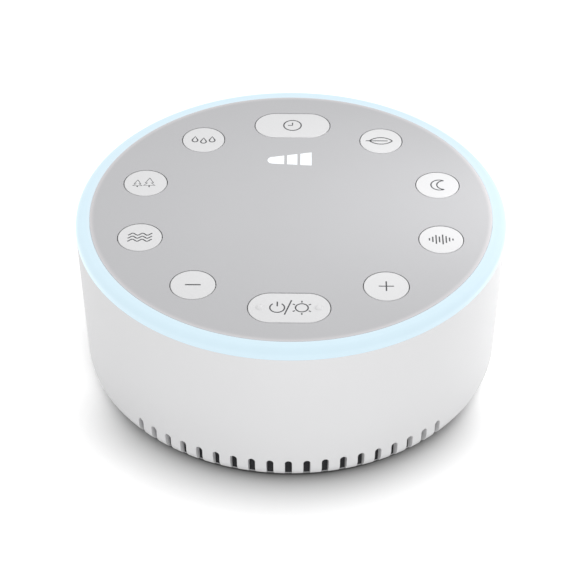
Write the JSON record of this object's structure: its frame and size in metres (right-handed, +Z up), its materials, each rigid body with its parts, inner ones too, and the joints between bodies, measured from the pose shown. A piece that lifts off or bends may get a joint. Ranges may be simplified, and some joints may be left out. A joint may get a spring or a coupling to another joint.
{
  "type": "white noise sound machine",
  "caption": "Low round bedside sound machine: white drum with a lit ring round the top, press keys in a flush grey plate and vent slots low at the front.",
  "frame": {"origin": "centre of the foot ring's underside, on the surface that the machine stands on", "axes": "+Z up through the face plate; the front, with the power and light key and the vent slots, faces -Y; +X is the user's right; the power inlet faces +Y"},
  "size_m": [0.111, 0.111, 0.0454],
  "materials": {
    "white_plastic": "fine satin",
    "plate_plastic": "satin",
    "key_plastic": "satin",
    "ring_diffuser": "frosted translucent, lit",
    "window_diffuser": "frosted translucent, lit",
    "black_plastic": "moulded",
    "foot_rubber": "matte",
    "black_cloth": "fine weave",
    "board": "solder mask over glass fibre",
    "lamp_white": "moulded lamp package",
    "header_plastic": "moulded",
    "steel": "pressed and plated",
    "ferrite": "sintered, ground faces",
    "can_aluminium": "drawn can",
    "screw_steel": "zinc plated",
    "cone_paper": "pressed paper pulp",
    "spider_cloth": "resin-dipped cotton",
    "coil_copper": "enamelled copper wire on paper",
    "terminal_board": "phenolic fibre",
    "lead_red": "vinyl sleeve",
    "lead_black": "vinyl sleeve"
  },
  "bodies": {
    "body": {"housing": "white_plastic", "base_plate": "white_plastic", "foot_ring": "foot_rubber", "vent_cloth": "black_cloth", "light_ring": "ring_diffuser", "face_plate": "plate_plastic", "volume_window": "window_diffuser", "key_deck": "white_plastic", "switch_bodies": "steel", "main_board": "board", "ring_lamps": "lamp_white", "volume_lamps": "lamp_white", "control_chips": "black_plastic", "capacitors": "can_aluminium", "power_header": "header_plastic", "speaker_header": "header_plastic", "speaker_baffle": "black_plastic", "speaker_gasket": "foot_rubber", "speaker_frame": "steel", "speaker_top_plate": "steel", "speaker_magnet": "ferrite", "speaker_yoke": "steel", "speaker_spider": "spider_cloth", "cone_surround": "foot_rubber", "speaker_terminals": "terminal_board", "inlet_socket": "steel", "inlet_board": "board", "power_leads": "lead_red", "speaker_leads": "lead_black", "base_screws": "screw_steel", "deck_screws": "screw_steel", "board_screws": "screw_steel", "speaker_screws": "screw_steel", "inlet_screws": "screw_steel"},
    "timer_key": {"timer_key": "key_plastic", "timer_plunger": "black_plastic"},
    "power_light_key": {"power_light_key": "key_plastic", "power_light_plunger": "black_plastic"},
    "rain_key": {"rain_key": "key_plastic", "rain_plunger": "black_plastic"},
    "forest_key": {"forest_key": "key_plastic", "forest_plunger": "black_plastic"},
    "ocean_key": {"ocean_key": "key_plastic", "ocean_plunger": "black_plastic"},
    "relax_key": {"relax_key": "key_plastic", "relax_plunger": "black_plastic"},
    "calm_key": {"calm_key": "key_plastic", "calm_plunger": "black_plastic"},
    "white_noise_key": {"white_noise_key": "key_plastic", "white_noise_plunger": "black_plastic"},
    "volume_down_key": {"volume_down_key": "key_plastic", "volume_down_plunger": "black_plastic"},
    "volume_up_key": {"volume_up_key": "key_plastic", "volume_up_plunger": "black_plastic"},
    "cone": {"speaker_cone": "cone_paper", "dust_cap": "cone_paper", "voice_coil": "coil_copper"}
  },
  "joints": [
    {"name": "timer_press", "type": "slide", "parent": "body", "child": "timer_key", "axis": [0, 0, -1], "range_m": [0, 0.0005], "stiffness_N_per_m": 1500, "springref_m": -0.0002},
    {"name": "power_light_press", "type": "slide", "parent": "body", "child": "power_light_key", "axis": [0, 0, -1], "range_m": [0, 0.0005], "stiffness_N_per_m": 1500, "springref_m": -0.0002},
    {"name": "rain_press", "type": "slide", "parent": "body", "child": "rain_key", "axis": [0, 0, -1], "range_m": [0, 0.0005], "stiffness_N_per_m": 1500, "springref_m": -0.0002},
    {"name": "forest_press", "type": "slide", "parent": "body", "child": "forest_key", "axis": [0, 0, -1], "range_m": [0, 0.0005], "stiffness_N_per_m": 1500, "springref_m": -0.0002},
    {"name": "ocean_press", "type": "slide", "parent": "body", "child": "ocean_key", "axis": [0, 0, -1], "range_m": [0, 0.0005], "stiffness_N_per_m": 1500, "springref_m": -0.0002},
    {"name": "relax_press", "type": "slide", "parent": "body", "child": "relax_key", "axis": [0, 0, -1], "range_m": [0, 0.0005], "stiffness_N_per_m": 1500, "springref_m": -0.0002},
    {"name": "calm_press", "type": "slide", "parent": "body", "child": "calm_key", "axis": [0, 0, -1], "range_m": [0, 0.0005], "stiffness_N_per_m": 1500, "springref_m": -0.0002},
    {"name": "white_noise_press", "type": "slide", "parent": "body", "child": "white_noise_key", "axis": [0, 0, -1], "range_m": [0, 0.0005], "stiffness_N_per_m": 1500, "springref_m": -0.0002},
    {"name": "volume_down_press", "type": "slide", "parent": "body", "child": "volume_down_key", "axis": [0, 0, -1], "range_m": [0, 0.0005], "stiffness_N_per_m": 1500, "springref_m": -0.0002},
    {"name": "volume_up_press", "type": "slide", "parent": "body", "child": "volume_up_key", "axis": [0, 0, -1], "range_m": [0, 0.0005], "stiffness_N_per_m": 1500, "springref_m": -0.0002},
    {"name": "cone_excursion", "type": "slide", "parent": "body", "child": "cone", "axis": [0, 0, -1], "range_m": [-0.0006, 0.0006], "stiffness_N_per_m": 1300, "deforming": ["cone_surround", "speaker_spider"]}
  ]
}
